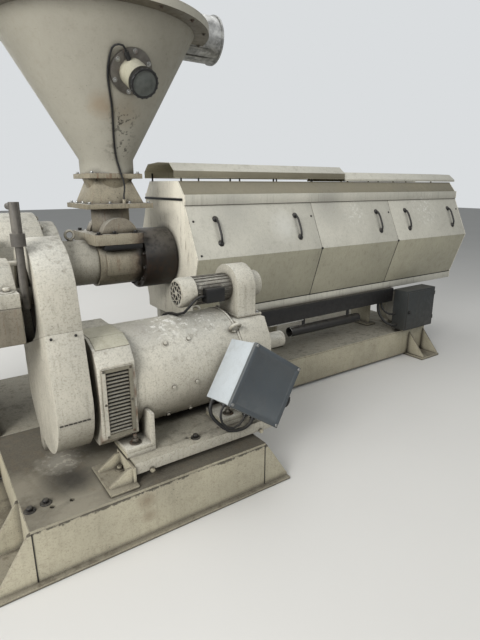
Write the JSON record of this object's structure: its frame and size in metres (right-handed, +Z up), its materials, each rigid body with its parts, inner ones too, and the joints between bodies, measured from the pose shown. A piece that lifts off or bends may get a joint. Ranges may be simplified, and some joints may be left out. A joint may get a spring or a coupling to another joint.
{
  "type": "plastic extruder",
  "caption": "Single-screw plastic extruder with hopper, belt-driven motor on a side platform, gearbox and a long covered barrel on a floor frame.",
  "frame": {"origin": "on the floor under the screw axis, at the middle of the cross member below the hopper", "axes": "+X along the screw towards the discharge end, +Y away from the motor, +Z up"},
  "size_m": [4.88, 2.0159, 2.5859],
  "materials": {
    "cream_paint": "dusty satin",
    "grey_box": "satin",
    "dark_iron": "matt",
    "belt_rubber": "matt",
    "bare_steel": "satin",
    "galvanised": "satin",
    "black_plastic": "matt"
  },
  "bodies": {
    "root": {"base_front_beam": "cream_paint", "base_rear_beam": "cream_paint", "base_top_plate": "cream_paint", "base_cross_members": "cream_paint", "base_end_feet": "cream_paint", "platform_top": "cream_paint", "platform_skirt": "cream_paint", "slide_base": "cream_paint", "slide_bracket": "cream_paint", "motor_yoke": "cream_paint", "motor_drive_end": "cream_paint", "motor_grille": "cream_paint", "motor_rear_housing": "cream_paint", "motor_feet": "cream_paint", "motor_tachometer": "cream_paint", "blower_scroll": "cream_paint", "blower_motor": "cream_paint", "conduit_box": "grey_box", "lifting_eyes": "cream_paint", "belt_guard_upper": "cream_paint", "belt_guard_lower": "cream_paint", "motor_sheave": "dark_iron", "gearbox_sheave": "dark_iron", "drive_belts": "belt_rubber", "gearbox_case": "cream_paint", "gearbox_cover": "cream_paint", "oil_line": "cream_paint", "thrust_bearing_housing": "cream_paint", "thrust_cylinder": "cream_paint", "feed_section": "cream_paint", "feed_throat": "cream_paint", "barrel_flange": "dark_iron", "barrel": "bare_steel", "barrel_supports": "cream_paint", "hopper_transition": "cream_paint", "hopper_cone": "cream_paint", "hopper_rim": "cream_paint", "hopper_lid": "cream_paint", "vent_spout": "galvanised", "level_sensor": "cream_paint", "guard_end_plates": "cream_paint", "guard_frame": "cream_paint", "guard_neck": "cream_paint", "front_covers": "cream_paint", "rear_covers": "cream_paint", "front_handles": "dark_iron", "rear_handles": "dark_iron", "guard_hoods": "cream_paint", "guard_hood_posts": "dark_iron", "cable_wireway": "dark_iron", "barrel_blower": "cream_paint", "terminal_box": "grey_box", "discharge_adapter": "dark_iron", "sensor_cable": "black_plastic", "blower_cable": "black_plastic", "conduit_loop_outer": "black_plastic", "conduit_loop_inner": "black_plastic", "terminal_hose_outer": "black_plastic", "terminal_hose_inner": "black_plastic"}
  },
  "joints": []
}
